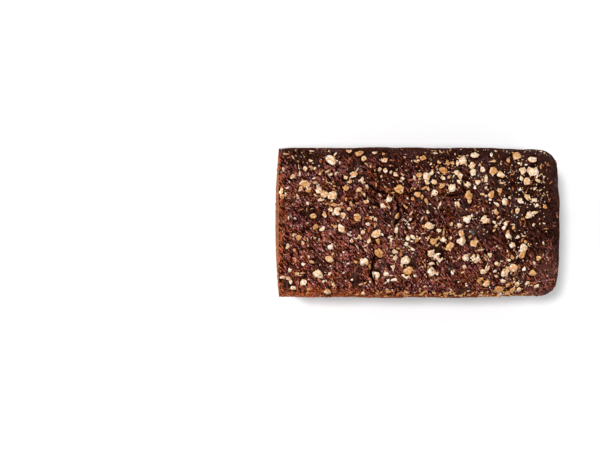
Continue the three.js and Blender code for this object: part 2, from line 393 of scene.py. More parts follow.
def crack_depths(points):
    """How deep the cracks open at each point: steep ragged sides, closing at both ends."""
    depths = np.zeros(len(points))
    flat = points[:, :2]
    for width, depth, path in CRACKS:
        corners = np.array(path, dtype=float)
        pieces = len(corners) - 1
        away = np.full(len(points), 1e9)
        along = np.zeros(len(points))
        for i in range(pieces):
            run = corners[i + 1] - corners[i]
            share = np.clip((flat - corners[i]) @ run / (run @ run), 0, 1)
            gap = np.linalg.norm(flat - corners[i] - share[:, None] * run, axis=1)
            nearer = gap < away
            away = np.where(nearer, gap, away)
            along = np.where(nearer, (i + share) / pieces, along)
        for i in np.flatnonzero(away < width * 1.6):
            ragged = 1 + 0.9 * noise.noise(Vector(points[i]) / 2.3)
            open_half = width / 2 * max(0.12, math.sin(math.pi * along[i])) * ragged
            wall = 1.15 - away[i] / max(open_half, 0.2)
            depths[i] = max(depths[i], depth * min(max(wall, 0), 1) ** 0.8)
    return depths


def torn_dough(place):
    """Heights of torn dough at a place: wide crags, clods with gaps between them, and fine wrinkles."""
    bent = place + noise.noise_vector(place / 9) * 2.6 + noise.noise_vector(place / 3) * 0.6
    along = bent.x * math.cos(GRAIN) + bent.y * math.sin(GRAIN)
    across = bent.y * math.cos(GRAIN) - bent.x * math.sin(GRAIN)
    drawn = Vector((across, along / 2.8, bent.z))
    crag = noise.noise(drawn / 4.6) + 0.4 * noise.noise(drawn / 2.2)
    nearest, second = noise.voronoi(drawn / 1.9)[0][:2]
    clod = min((second - nearest) * 2.4, 1)
    wrinkle = 1 - 2.6 * abs(noise.noise(Vector((across, along / 5, bent.z)) / 0.95))
    return crag, clod, wrinkle


def dough_pocket(place):
    """From 0 to 1 in the pockets, a few millimetres wide, where the dough tore open: sunk a little and
    darkened with painted shade.
    """
    return torn_share(place.x, place.y) * smooth(noise.noise(place / 3.6 + Vector((0, 0, 60))), 0.2, 0.5)


def dough_tone(place):
    """How much paler than the rest, or darker, the dough is round a place: random tone, and painted shade in
    the pockets: about -1.5 to 0.5.
    """
    return 0.9 * noise.noise(place / 24) + 0.2 * noise.noise(place / 7) - 0.8 * dough_pocket(place)


def dough_warmth(place):
    """How orange the dough is at a place, and not mauve, from 0 to 1."""
    wide = noise.noise(place / 13 + Vector((40, 0, 0)))
    fine = noise.noise(place / 3.4 + Vector((0, 40, 0)))
    return min(max(0.4 + 0.7 * wide + 0.9 * fine, 0), 1)


def edge_light_share(loaf, x, y):
    """From 0 to 1 where painted light makes the crust paler and more orange: along the cut, and along the
    near shoulder.
    """
    cut = smooth(-x, -CUT_X - 4.5, -CUT_X)
    edge = loaf.width / 2
    near = smooth(-y, edge - lerp(11, 4, smooth(x, -60, 10)), edge - 1.5)
    return np.maximum(cut, near)


def calm_share(x, y):
    """From 0 to 1 where the crust stayed whole: in patches some 20 mm wide, and along the far side."""
    patch = smooth(noise.noise(Vector((x, y, 0)) / 13), 0.05, 0.35)
    return max(patch, smooth(y, 43, 51))


def torn_share(x, y):
    """How torn the top is at a place: most at the cut, and least at the round end's far corner."""
    whole = smooth(0.8 * x + 0.6 * y, -15, 95)
    return lerp(1, 0.15, whole) * (1 - 0.7 * calm_share(x, y))


def neighbour_mean(values, edges, rounds):
    """Mean of each vertex's value with its neighbours' values, taken over and over."""
    first, second = edges.T
    size = len(values)
    count = 1 + np.bincount(first, minlength=size) + np.bincount(second, minlength=size)
    for _ in range(rounds):
        total = values + np.bincount(first, values[second], size) + np.bincount(second, values[first], size)
        values = total / count
    return values


# ---------------------------------------------------------------------------------------------------
# Meshes.


def coordinates(bm):
    return np.array([v.co for v in bm.verts])


def place_vertices(bm, points):
    """Moves the vertices to these places, given in millimetres."""
    for vertex, point in zip(bm.verts, points * MM):
        vertex.co = point


def set_values(bm, name, values):
    """Keeps one number for each vertex, for the materials to read."""
    layer = bm.verts.layers.float.new(name)
    for vertex, value in zip(bm.verts, values):
        vertex[layer] = value


def open_rim(bm):
    return [edge for edge in bm.edges if edge.is_boundary]


def grow_rim(bm, rim, move):
    """Extrudes a rim of edges, moves the new vertices by a rule, and gives the new rim."""
    made = bmesh.ops.extrude_edge_only(bm, edges=rim)["geom"]
    for vertex in made:
        if isinstance(vertex, bmesh.types.BMVert):
            vertex.co = move(vertex.co)
    return [edge for edge in made if isinstance(edge, bmesh.types.BMEdge) and edge.is_boundary]


def to_mesh(name, bm):
    mesh = bpy.data.meshes.new(name)
    bm.to_mesh(mesh)
    bm.free()
    return mesh


def add_object(name, data):
    thing = bpy.data.objects.new(name, data)
    bpy.context.scene.collection.objects.link(thing)
    return thing


def finish_piece(name, bm, material, slot, stands_for=None):
    """Makes the piece's object, smooth and riding on the loaf, and no larger than the solid."""
    low, high = CAD_BOX
    for vertex in bm.verts:
        vertex.co = [min(max(value, least), most) for value, least, most in zip(vertex.co, low, high)]
    bmesh.ops.recalc_face_normals(bm, faces=bm.faces)
    mesh = to_mesh(name, bm)
    mesh.shade_smooth()
    mesh.materials.append(material)
    piece = add_object(name, mesh)
    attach(piece, "root")
    if stands_for:
        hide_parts(stands_for)


# ---------------------------------------------------------------------------------------------------
# Materials.

SOCKET_KINDS = {
    "Vector": "NodeSocketVector",
    "Colour": "NodeSocketColor",
    "Dark": "NodeSocketColor",
    "Light": "NodeSocketColor",
}


class Nodes:
    """Adds nodes to a tree: settings by name, and each input as a value, a colour or another output."""

    def __init__(self, tree):
        self.tree = tree

    def give(self, socket, value):
        if isinstance(value, bpy.types.NodeSocket):
            self.tree.links.new(value, socket)
        else:
            socket.default_value = (*value, 1) if socket.type == "RGBA" else value

    def add(self, kind, inputs=None, **settings):
        node = self.tree.nodes.new(kind)
        for name, value in settings.items():
            setattr(node, name, value)
        for name, value in (inputs or {}).items():
            self.give(node.inputs[name], value)
        return node

    def math(self, operation, first, second=0.0, clamp=False):
        settings = {"operation": operation, "use_clamp": clamp}
        return self.add("ShaderNodeMath", {0: first, 1: second}, **settings).outputs[0]

    def plus(self, first, second):
        return self.math("ADD", first, second)

    def minus(self, first, second):
        return self.math("SUBTRACT", first, second)

    def times(self, first, second):
        return self.math("MULTIPLY", first, second)

    def mix(self, share, first, second, blend="MIX"):
        settings = {"data_type": "RGBA", "blend_type": blend, "clamp_result": False}
        return self.add("ShaderNodeMix", {0: share, 6: first, 7: second}, **settings).outputs[2]

    def ramp(self, share, low, high):
        """From 0 at low to 1 at high, level at both."""
        inputs = {"Value": share, "From Min": low, "From Max": high}
        settings = {"interpolation_type": "SMOOTHSTEP", "clamp": True}
        return self.add("ShaderNodeMapRange", inputs, **settings).outputs[0]

    def cloud(self, place, scale, detail, **more):
        """Soft noise, round 0.5."""
        inputs = {"Vector": place, "Scale": scale, "Detail": detail, **more}
        return self.add("ShaderNodeTexNoise", inputs).outputs["Fac"]

    def cells(self, place, scale, **settings):
        """Uneven cells, with a distance from their middles and a colour each."""
        return self.add("ShaderNodeTexVoronoi", {"Vector": place, "Scale": scale}, **settings).outputs

    def attribute(self, name):
        return self.add("ShaderNodeAttribute", attribute_name=name).outputs["Fac"]

    def feed(self, label, value):
        """Gives a value to an input of the material's Principled shader."""
        self.give(self.tree.nodes["Principled BSDF"].inputs[label], value)

    def feed_bump(self, height, distance, strength=1.0):
        bump = self.add("ShaderNodeBump", {"Height": height, "Distance": distance, "Strength": strength})
        self.feed("Normal", bump.outputs["Normal"])


def place_group(nodes, name, build, outputs, inputs):
    """Places a shader node group, which is built the first time that it is asked for."""
    group = bpy.data.node_groups.get(name)
    if not group:
        group = bpy.data.node_groups.new(name, "ShaderNodeTree")
        for way, labels in (("INPUT", inputs), ("OUTPUT", outputs)):
            for label in labels:
                kind = SOCKET_KINDS.get(label, "NodeSocketFloat")
                group.interface.new_socket(label, in_out=way, socket_type=kind)
        inner = Nodes(group)
        inner.add("NodeGroupOutput", build(inner, inner.add("NodeGroupInput").outputs))
    return nodes.add("ShaderNodeGroup", inputs, node_tree=group).outputs


def add_grain(nodes, place, scale, pebbles):
    """Grain of dough or flour: a height for bumps, and a mask of its high places."""

    def build(inner, given):
        fine = inner.cloud(given["Vector"], given["Scale"], 4.0, Roughness=0.62)
        bumps = inner.cells(given["Vector"], given["Scale"], feature="SMOOTH_F1")["Distance"]
        height = inner.minus(fine, inner.times(bumps, given["Pebbles"]))
        return {"Height": height, "Mask": inner.ramp(fine, 0.45, 0.58)}

    inputs = {"Vector": place, "Scale": scale, "Pebbles": pebbles}
    return place_group(nodes, "Grain", build, ("Height", "Mask"), inputs)


def add_mottle(nodes, place, scale, amount, base, dark, light):
    """Uneven colour: a darker and a lighter tint that wander over a base colour."""

    def build(inner, given):
        wide = inner.cloud(given["Vector"], given["Scale"], 3.0, Roughness=0.6)
        darker = inner.times(inner.ramp(wide, 0.5, 0.3), given["Amount"])
        lighter = inner.times(inner.ramp(wide, 0.5, 0.7), given["Amount"])
        shaded = inner.mix(darker, given["Colour"], given["Dark"])
        return {"Colour": inner.mix(lighter, shaded, given["Light"])}

    inputs = {"Vector": place, "Scale": scale, "Amount": amount, "Colour": base, "Dark": dark, "Light": light}
    return place_group(nodes, "Mottle", build, ("Colour",), inputs)["Colour"]


def add_spots(nodes, place, scale, share):
    """Mask of round spots of many sizes: pores or specks. The share is that of the cells with one."""

    def build(inner, given):
        cells = inner.cells(given["Vector"], given["Scale"])
        chance = inner.add("ShaderNodeSeparateColor", {"Color": cells["Color"]}).outputs["Red"]
        size = inner.math("MULTIPLY", inner.minus(given["Share"], chance), 0.8, clamp=True)
        return {"Mask": inner.ramp(cells["Distance"], size, inner.times(size, 0.5))}

    inputs = {"Vector": place, "Scale": scale, "Share": share}
    return place_group(nodes, "Spots", build, ("Mask",), inputs)["Mask"]


def new_material(name, **shader):
    """A material with its shader's constants set, its nodes and its Object coordinates."""
    material = bpy.data.materials.new(name)
    material.use_nodes = True
    nodes = Nodes(material.node_tree)
    for label, value in shader.items():
        nodes.feed(label.replace("_", " "), value)
    return material, nodes, nodes.add("ShaderNodeTexCoord").outputs["Object"]


def crust_material(look):
    """Moist dark dough with flecks of bran: painted shade, black in its hollows and cracks, painted
    highlights, red-brown and mauve, on its ridges, and painted glints.
    """
    if "dark_dough" in bpy.data.materials:
        return bpy.data.materials["dark_dough"]
    material, nodes, place = new_material(
        "dark_dough", Specular_IOR_Level=0.0, Roughness=0.6, Coat_Roughness=0.24, Coat_IOR=1.45
    )
    labels = ("relief", "warm", "top", "edge_lit", "torn", "dark")
    relief, warm, top, edge_lit, torn, dark = [nodes.attribute(label) for label in labels]
    along_tear = {"Vector": place, "Rotation": (0, 0, GRAIN), "Scale": (4.4, 1, 1)}
    drawn = nodes.add("ShaderNodeMapping", along_tear, vector_type="TEXTURE").outputs["Vector"]
    streaks = add_grain(nodes, drawn, 1000.0, 0.3)
    grain = add_grain(nodes, place, 850.0, 0.45)
    # The grain masks' high places are painted paler and their low places darker: painted highlight and
    # painted shade.
    specks = nodes.plus(nodes.times(streaks["Mask"], 0.8), nodes.times(grain["Mask"], 0.3))
    contrast = nodes.plus(nodes.times(torn, 1.3), 0.2)
    wavering = nodes.plus(relief, nodes.times(nodes.minus(specks, 0.56), contrast))

    # The torn top, from its deepest places up: painted shade in the hollows, painted highlight on the ridges.
    body = nodes.mix(nodes.ramp(torn, 0.9, 0.3), nodes.mix(warm, look.body, look.warm_body), look.skin)
    ridge_sheen = nodes.mix(warm, look.ridge_sheen, look.amber)
    # Painted shade: low places of the relief are painted dark.
    deep = nodes.mix(nodes.ramp(wavering, 0.1, 0.5), look.hollow_shade, body)
    # Painted shade: near-black down in the cracks.
    black = nodes.mix(nodes.ramp(relief, -0.4, 0.05), look.crack, deep)
    # Painted highlight: high places of the relief are painted in the ridge colours.
    dough = nodes.mix(nodes.ramp(wavering, 0.5, 1.05), black, ridge_sheen)
    free = nodes.math("SUBTRACT", torn, edge_lit, clamp=True)
    # Painted highlight: pale glints painted on the torn ridges.
    glints = nodes.times(add_spots(nodes, place, 640.0, 0.68), free)
    lit = nodes.times(glints, nodes.ramp(wavering, 0.38, 0.62))
    dough = nodes.mix(nodes.times(lit, 0.9), dough, look.glint)
    husk = nodes.cloud(place, 330.0, 2.0, Distortion=1.5)
    flecked = nodes.mix(nodes.times(nodes.ramp(husk, 0.58, 0.7), relief), dough, look.bran)

    # The walls that the tin pressed.
    tin = add_mottle(nodes, place, 75.0, 0.7, look.side, *SIDE_TINTS)
    grained = nodes.mix(nodes.times(grain["Mask"], 0.35), tin, look.body)
    # Painted shade: small pits in the walls are painted dark.
    pit_shaded = nodes.mix(nodes.times(add_spots(nodes, place, 430.0, 0.55), 0.8), grained, look.hollow_shade)
    dusted = nodes.mix(nodes.times(add_spots(nodes, place, 240.0, 0.2), 0.7), pit_shaded, FLOUR_DUST)

    # Both, with painted light along the cut and the near shoulder, then darkened by painted shade towards the
    # round end and the far side, and by the calm patches.
    # Painted light along the cut and the near shoulder.
    edge_light = nodes.times(edge_lit, nodes.ramp(wavering, 0.3, 0.75))
    both = nodes.mix(nodes.times(edge_light, 0.95), nodes.mix(top, dusted, flecked), look.edge_light)
    # Painted shade towards the round end and the far side, and darker calm patches.
    nodes.feed("Base Color", nodes.mix(nodes.times(dark, 0.85), both, SHADE_AND_CALM_TINT, "MULTIPLY"))

    wet = nodes.ramp(nodes.cloud(place, 160.0, 3.0), 0.42, 0.62)
    moist = nodes.times(wet, nodes.ramp(relief, 0.35, 0.75))
    nodes.feed("Coat Weight", nodes.times(nodes.times(moist, top), 0.55))
    nodes.feed_bump(nodes.plus(nodes.times(streaks["Height"], 0.6), grain["Height"]), 0.5 * MM, 0.9)
    return material


def crumb_material(look):
    """Brown crumb like a sponge: pale thin walls, with painted shade in the pores and painted highlight on
    lumps that stand out; denser towards the crust.
    """
    material, nodes, place = new_material("cut_crumb", Specular_IOR_Level=0.15, Roughness=0.65)
    grain = add_grain(nodes, place, 800.0, 0.6)
    body = add_mottle(nodes, place, 330.0, 0.8, look.body, *CRUMB_TINTS)
    much = nodes.minus(0.75, nodes.times(nodes.attribute("dense"), 0.6))
    strands = nodes.mix(nodes.times(grain["Mask"], much), body, look.pale)
    # Painted highlight: crumb that stands out is painted paler.
    strands = nodes.mix(nodes.times(nodes.attribute("proud"), 0.6), strands, look.pale)
    # Painted shade in the pores and in the fine low places.
    holes = nodes.mix(nodes.ramp(nodes.attribute("pore"), 0.05, 0.8), strands, look.pore)
    nodes.feed("Base Color", nodes.mix(nodes.ramp(grain["Height"], 0.2, 0.05), holes, look.pore))
    nodes.feed_bump(grain["Height"], 0.6 * MM)
    return material


def oat_material(look):
    """Flour-pale flakes with a toasted heart and hull."""
    material, nodes, place = new_material("rolled_oats", Specular_IOR_Level=0.25, Roughness=0.6)
    heart = nodes.attribute("heart")
    grain = add_grain(nodes, place, 850.0, 0.4)
    patchy = nodes.cloud(place, 620.0, 3.0)
    floury = nodes.mix(nodes.ramp(patchy, 0.42, 0.58), look.cream, look.flour)
    off_fold = nodes.math("ABSOLUTE", nodes.minus(nodes.cloud(place, 420.0, 1.0), 0.5))
    folded = nodes.mix(nodes.times(nodes.ramp(off_fold, 0.06, 0.015), 0.75), floury, look.amber)
    rim = nodes.ramp(heart, 0.16, 0.0)
    toasted = nodes.times(heart, 0.5)
    browned = ((nodes.attribute("bake"), 0.8), (rim, 0.65), (patchy, -1.05), (grain["Mask"], 0.16))
    for value, share in browned:
        toasted = nodes.plus(toasted, nodes.times(value, share))
    amber = nodes.mix(nodes.times(nodes.ramp(toasted, 0.02, 0.4), 0.85), folded, look.amber)
    baked = nodes.mix(nodes.times(nodes.ramp(toasted, 0.38, 0.75), 0.85), amber, look.toast)
    nodes.feed("Base Color", baked)
    nodes.feed_bump(grain["Height"], 0.5 * MM)
    return material


def bran_material(look):
    """Slivers of husk, orange-brown."""
    material, nodes, place = new_material("rye_husk", Specular_IOR_Level=0.4, Roughness=0.45)
    nodes.feed("Base Color", add_mottle(nodes, place, 500.0, 0.7, look.bran, look.body, PALE_HUSK))
    return material


def seed_material(look):
    """Cut kernels: a pale heart in a darker skin."""
    material, nodes, place = new_material("cut_kernels", Specular_IOR_Level=0.4, Roughness=0.42)
    flesh = add_mottle(nodes, place, 800.0, 0.5, KERNEL, *KERNEL_TINTS)
    brown = nodes.mix(nodes.times(nodes.attribute("bake"), 0.8), flesh, look.pale)
    skin = nodes.ramp(nodes.attribute("heart"), 0.35, 0.1)
    nodes.feed("Base Color", nodes.mix(skin, brown, KERNEL_SKIN))
    return material


# ---------------------------------------------------------------------------------------------------
# Crust and crumb.


def begin(context, seed):
    """What an operator starts from: the settings, the loaf's form and a run of draws."""
    settings = context.scene.rye_loaf
    return settings, Loaf(settings.shape), seeded_draws(SEEDS[seed])


def crust_box(loaf, step):
    """A plain box, fine on top: a grid whose rim is drawn down the walls and in under the foot."""
    bm = bmesh.new()
    squares = {"x_segments": round(loaf.length / step), "y_segments": round(loaf.width / step)}
    size = Matrix.Diagonal((loaf.length, loaf.width, 1, 1))
    middle = Matrix.Translation((loaf.length / 2, 0, loaf.height))
    bmesh.ops.create_grid(bm, **squares, size=0.5, matrix=middle @ size)
    rim = open_rim(bm)
    for i in range(CRUST_RINGS):
        level = loaf.height * (1 - crowd((i + 1) / CRUST_RINGS, RING_CROWDING))
        rim = grow_rim(bm, rim, lambda co: Vector((co.x, co.y, level)))
    centre = Vector((loaf.length / 2, 0, 0))
    for shrink in FOOT_RINGS:
        rim = grow_rim(bm, rim, lambda co: centre + (co - centre) * shrink)
    bmesh.ops.contextual_create(bm, geom=rim)
    return bm


def shade_and_calm_dark(x, y):
    """How darkly a place is painted, from 0 to 1: painted shade, most at the round end and the far side, and
    darker where calm.
    """
    return min(0.48 * smooth(x, -80, 35) + 0.62 * smooth(y, -40, 20) + 0.28 * calm_share(x, y), 1)


def flake_shade(points, flakes):
    """From 0 to 1 close round the flakes: painted contact shadow, darkening the dough round each flake."""
    shade = np.zeros(len(points))
    for x, y, radius in flakes:
        away = np.hypot(points[:, 0] - x, points[:, 1] - y) / radius
        shade = np.maximum(shade, 1 - smooth(away, 0.95, 1.5))
    return shade


def dress_crust(loaf, bm, flakes):
    """Bakes the box: the loaf's form, then torn dough, cracks and a pocket for the crumb."""
    bm.verts.index_update()
    edges = np.array([[v.index for v in edge.verts] for edge in bm.edges])
    box = coordinates(bm)
    points, out, weight = loaf.carry(box)
    places = [Vector(p) for p in points]

    def feel(rule):
        return np.array([rule(place) for place in places])

    crag, clod, wrinkle = feel(torn_dough).T
    rough = smooth(weight, SIDE_RELIEF, 0.9)
    torn = feel(lambda place: torn_share(place.x, place.y))
    height = torn * (loaf.crags * (0.7 * crag + 0.8 * (clod - 0.6)) + loaf.wrinkles * (wrinkle - 0.3))
    height -= 0.5 * feel(dough_pocket)
    height -= crack_depths(points) * (out[:, 2] > 0.3)
    points += out * (lerp(0.3, 1, rough) * height)[:, None]

    on_cut = box[:, 0] < 1e-6
    pocket = POCKET_DEPTH * smooth(loaf.inset(box), CRUMB_INSET, CRUMB_INSET + 1)
    points[:, 0] += np.where(on_cut, pocket, 0)
    points[:, 2] = np.maximum(points[:, 2], 0)
    place_vertices(bm, points)

    # The relief value paints light and shade by height: dough lower than its neighbours is painted darker
    # (painted shade), dough higher than them is painted paler (painted highlight), with random tone on top.
    proud = height - neighbour_mean(height, edges, 14)
    # Painted light: paler and more orange along the cut and the near shoulder.
    edge_lit = edge_light_share(loaf, points[:, 0], points[:, 1]) * smooth(points[:, 2], *EDGE_LIGHT_HEIGHTS)
    tone = feel(dough_tone) + 0.5 * edge_lit
    warmth = feel(dough_warmth) + 0.4 * edge_lit
    # Painted contact shadow round each flake.
    pressed = flake_shade(points, flakes) * (out[:, 2] > 0.3)
    set_values(bm, "relief", np.clip(0.43 + proud / 4 + 0.25 * tone - 0.4 * pressed, -1, 1))
    set_values(bm, "warm", np.clip(warmth, 0, 1))
    set_values(bm, "edge_lit", edge_lit)
    set_values(bm, "torn", torn)
    set_values(bm, "top", smooth(weight, 0.3, 0.75))
    # Painted shade towards the round end and the far side, and darker calm patches.
    set_values(bm, "dark", feel(lambda place: shade_and_calm_dark(place.x, place.y)))


class RYE_OT_crust(bpy.types.Operator):
    """Makes the crust, with the loaf's whole body under it"""

    bl_idname = "rye.crust"
    bl_label = "Crust"

    def execute(self, context):
        settings = context.scene.rye_loaf
        loaf = Loaf(settings.shape)
        bm = crust_box(loaf, settings.shape.mesh_step / MM)
        dress_crust(loaf, bm, oat_places(loaf, settings.oats))
        finish_piece("loaf_crust", bm, crust_material(settings.crust), "crust", "loaf")
        return {"FINISHED"}


def pore_depth(place, dense):
    """How deep a pore is at a place of the crumb, from 0 to 1. Where it is dense, pores are small."""
    bent = place + noise.noise_vector(place / 2.4) * 0.9
    slant = Vector((bent.x / 1.3, (bent.y + bent.z) / 1.7, (bent.y - bent.z) / 2.3))
    distances, seeds = noise.voronoi(slant)
    size = noise.cell(seeds[0] * 37.7)
    wall = lerp(0.1, 0.42, size) + 0.25 * dense
    return min(max((distances[1] - distances[0] - wall) * 3.5, 0), 1)


class RYE_OT_crumb(bpy.types.Operator):
    """Makes the cut face: a slab of crumb let into the crust"""

    bl_idname = "rye.crumb"
    bl_label = "Crumb"

    def execute(self, context):
        settings = context.scene.rye_loaf
        loaf = Loaf(settings.shape)
        step = settings.crumb.step / MM
        wide = loaf.width - 2 * CRUMB_INSET
        tall = loaf.height - 2 * CRUMB_INSET
        bm = bmesh.new()
        squares = {"x_segments": round(tall / step), "y_segments": round(wide / step)}
        upright = KNIFE_TURN @ Matrix.Diagonal((tall, wide, 1, 1))
        middle = Matrix.Translation((0, 0, loaf.height / 2))
        bmesh.ops.create_grid(bm, **squares, size=0.5, matrix=middle @ upright)
        box = coordinates(bm)
        points = loaf.carry(box)[0]
        inset = loaf.inset(box)
        away = smooth(inset, CRUMB_INSET, 2.2)
        dense = 1 - smooth(inset, 2, 11)
        depths = np.array([pore_depth(Vector(p), d) for p, d in zip(points, dense)]) * away
        lumps = np.array([noise.fractal(Vector(p) / 2.2, 0.8, 2.0, 3) for p in points]) * away
        points[:, 0] += depths - lumps * 0.45 + 0.2
        points[:, 2] = np.maximum(points[:, 2], 0.35)
        place_vertices(bm, points)
        set_values(bm, "pore", depths)
        set_values(bm, "dense", dense)
        # Where the crumb stands out, for a painted highlight.
        set_values(bm, "proud", smooth(lumps - depths, 0.15, 0.7))
        back = Vector((POCKET_DEPTH * 0.7 * MM, 0, 0))
        rim = grow_rim(bm, open_rim(bm), lambda co: co + back)
        bmesh.ops.contextual_create(bm, geom=rim)
        finish_piece("loaf_crumb", bm, crumb_material(settings.crumb), "crumb")
        return {"FINISHED"}


# ---------------------------------------------------------------------------------------------------
# Scattered things. Each kind is stamped many times into one mesh.


def new_disc(sides):
    bm = bmesh.new()
    bmesh.ops.create_circle(bm, cap_ends=True, segments=sides, radius=1)
    return bm


def close_stamp(bm, narrowing):
    """Gives a disc its edge and a flat back, which is narrower, and makes the stamp."""
    rim = grow_rim(bm, open_rim(bm), lambda co: Vector((co.x * narrowing, co.y * narrowing, -1)))
    bmesh.ops.contextual_create(bm, geom=rim)
    bmesh.ops.recalc_face_normals(bm, faces=bm.faces)
    return to_mesh("stamp", bm)


def flake_stamp(sides):
    """A thin disc of radius 1 with rings on its face."""
    bm = new_disc(sides)
    bmesh.ops.inset_region(bm, faces=bm.faces[:], thickness=0.22)
    middle = max(bm.faces, key=lambda face: len(face.verts))
    bmesh.ops.inset_region(bm, faces=[middle], thickness=0.4)
    bmesh.ops.poke(bm, faces=[middle])
    return close_stamp(bm, 0.94)


def shard_stamp(sides):
    """A broken chip: a thin prism of radius 1."""
    return close_stamp(new_disc(sides), 0.85)


def ball_stamp(levels):
    bm = bmesh.new()
    bmesh.ops.create_icosphere(bm, subdivisions=levels, radius=1)
    return to_mesh("stamp", bm)


def sliver_stamp(joints):
    """A thin pointed strip along X, from -1 to 1."""
    bm = bmesh.new()
    bmesh.ops.create_cube(bm, size=2)
    long_edges = [e for e in bm.edges if abs(e.verts[0].co.x - e.verts[1].co.x) > 1]
    bmesh.ops.subdivide_edges(bm, edges=long_edges, cuts=joints, use_grid_fill=True)
    for vertex in bm.verts:
        thin = max(0.15, 1 - abs(vertex.co.x) ** 2)
        vertex.co.y *= thin
        vertex.co.z *= lerp(0.5, 1, thin)
    return to_mesh("stamp", bm)


class Scatter:
    """One mesh of many stamped things, each vertex with its heart and bake values."""

    def __init__(self, *stamps):
        self.stamps = stamps
        self.bm = bmesh.new()
        self.heart = self.bm.verts.layers.float.new("heart")
        self.bake = self.bm.verts.layers.float.new("bake")

    def stamp(self, which, shape, bake):
        """Adds one of the stamps. The shape rule gives each vertex its new place and its heart value."""
        count = len(self.bm.verts)
        self.bm.from_mesh(self.stamps[which])
        self.bm.verts.ensure_lookup_table()
        for i in range(count, len(self.bm.verts)):
            vertex = self.bm.verts[i]
            place, heart = shape(vertex.co.copy())
            vertex.co = place
            vertex[self.heart] = heart
            vertex[self.bake] = bake

    def finish(self, name, material, slot):
        for stamp in self.stamps:
            bpy.data.meshes.remove(stamp)
        finish_piece(name, self.bm, material, slot)


def oat_share(x, y, bare):
    """How readily an oat stays at a place of the top, from 0 to 1: bare holds the least, left and right."""
    share = lerp(*bare, smooth(x, -30, 50))
    for patch_x, patch_y, reach, more in OAT_PATCHES:
        share += more * math.exp(-((x - patch_x) ** 2 + (y - patch_y) ** 2) / (2 * reach**2))
    return min(share, 1)


def between(low, high, draw):
    """A random (x, y) between two corners."""
    return lerp(low[0], high[0], draw()), lerp(low[1], high[1], draw())


def strew(loaf, count, radii, draw, laid=(), bare=(BARE_SHARE, BARE_SHARE), counted=0):
    """Places of oats on the plan, the largest first and clear of the laid ones: a list of (x, y, radius)."""
    low = (CUT_X + OAT_MARGIN["cut"], OAT_MARGIN["sides"] - loaf.width / 2)
    high = (CUT_X + loaf.length - OAT_MARGIN["round"], loaf.width / 2 - OAT_MARGIN["sides"])
    strewn = []
    while len(strewn) + counted < count:
        small = (len(strewn) + counted) / count
        radius = lerp(*radii, (1 - small) ** FLAKE_MIX)
        x, y = between(low, high, draw)
        stays = draw() < oat_share(x, y, bare)
        room = FLAKE_SPACING * radius
        others = (*laid, *strewn)
        if stays and all(math.hypot(o[0] - x, o[1] - y) > room + FLAKE_SPACING * o[2] for o in others):
            strewn.append((x, y, radius))
    return strewn


def oat_places(loaf, oats):
    """Places of all whole flakes: the main ones, those strewn round them, and small ones between."""
    least, largest = oats.least / MM, oats.largest / MM
    main = [flake[:3] for flake in MAIN_FLAKES]
    draw = seeded_draws(SEEDS["flake places"])
    large = strew(loaf, oats.flakes, (least, largest), draw, main, counted=len(main))
    draw = seeded_draws(SEEDS["small flakes"])
    small = strew(loaf, oats.small, (least * 0.55, least * 1.4), draw, main + large, (0.65, 0.35))
    return main + large + small


def clear_places(loaf, count, draw, flakes=(), end_margin=2):
    """Random places of the top, without those in a crack or at a flake."""
    low = (CUT_X + 0.5, 0.6 - loaf.width / 2)
    high = (CUT_X + loaf.length - end_margin, loaf.width / 2 - 0.6)
    places = np.array([(*between(low, high, draw), 0) for _ in range(count)])
    clear = crack_depths(places) < 1
    for x, y, radius in flakes:
        clear &= np.hypot(places[:, 0] - x, places[:, 1] - y) > 1.05 * radius
    return places[clear, :2].tolist()


def torn_places(loaf, count, draw, flakes):
    """Clear places again, fewest where the top is least torn."""
    places = clear_places(loaf, count, draw, flakes)
    return [(x, y) for x, y in places if draw() < 1.15 * torn_share(x, y) - 0.1]


def grain_turn(x, y, draw, spread):
    """Turn that lays a thing along the way the dough tore, which swerves from place to place."""
    swerve = 0.8 * noise.noise(Vector((x, y, 0)) / 17)
    return Matrix.Rotation(GRAIN + swerve + (draw() - 0.5) * spread, 4, "Z")


def far_place(draw):
    """A place of the noise far from others, so that each thing has a shape of its own."""
    return Vector((draw() * 50, draw() * 50, draw() * 50))


def surface_of(name):
    """The surface of a finished piece, for rays to meet."""
    return BVHTree.FromObject(bpy.data.objects[name], bpy.context.evaluated_depsgraph_get())


class Top:
    """The finished top crust, felt from above."""

    def __init__(self):
        self.tree = surface_of("loaf_crust")

    def height(self, x, y):
        """Height of the crust over a place in millimetres, or None past its edge."""
        hit = self.tree.ray_cast(Vector((x * MM, y * MM, 0.3)), Vector((0, 0, -1)))[0]
        return hit.z / MM if hit and hit.z / MM > 40 else None

    def bed(self, x, y, radius):
        """Matrix that lays a thing on the crust: its own Z along the crust's mean outward way."""
        reach = radius * 0.8
        ring = [(math.cos(a) * reach, math.sin(a) * reach) for a in np.linspace(0, 2 * math.pi, 7)[:-1]]
        felt = [(dx, dy, self.height(x + dx, y + dy)) for dx, dy in ((0, 0), *ring)]
        felt = [f for f in felt if f[2] is not None]
        if len(felt) < 4:
            return None
        rows = np.array([(dx, dy, 1) for dx, dy, z in felt])
        heights = np.array([z for dx, dy, z in felt])
        plane = np.linalg.lstsq(rows, heights, rcond=None)[0]
        proud = (heights - rows @ plane).max()
        normal = Vector((-plane[0], -plane[1], 1)).normalized()
        lean = Vector((0, 0, 1)).rotation_difference(normal).to_matrix().to_4x4()
        return Matrix.Translation((x, y, plane[2] + 0.5 * proud)) @ lean


